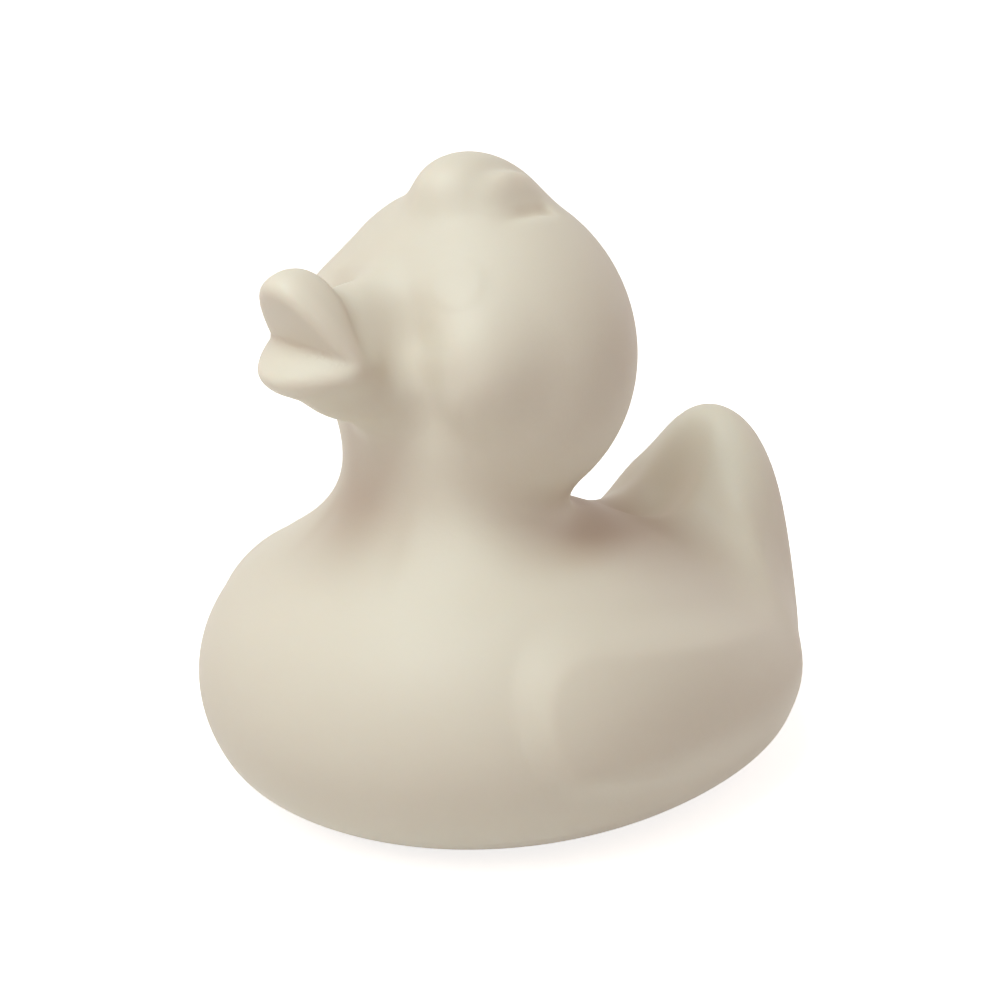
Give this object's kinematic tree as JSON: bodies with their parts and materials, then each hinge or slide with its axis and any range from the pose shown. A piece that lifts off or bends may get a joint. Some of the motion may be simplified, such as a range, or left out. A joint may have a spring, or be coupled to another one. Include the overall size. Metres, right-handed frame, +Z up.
{
  "type": "rubber duck",
  "caption": "Hollow soft-vinyl bath duck with an open bill, low wing pads, an upright scooped tail and a flat base with a vent hole.",
  "frame": {"origin": "centre of the duck's length and width, on the plane it stands on", "axes": "+Z up, -Y where the bill points, +X towards the duck's left"},
  "size_m": [0.0724, 0.0872, 0.0865],
  "materials": {
    "vinyl": "smooth matte ivory vinyl"
  },
  "bodies": {
    "root": {"duck_body": "vinyl"}
  },
  "joints": []
}
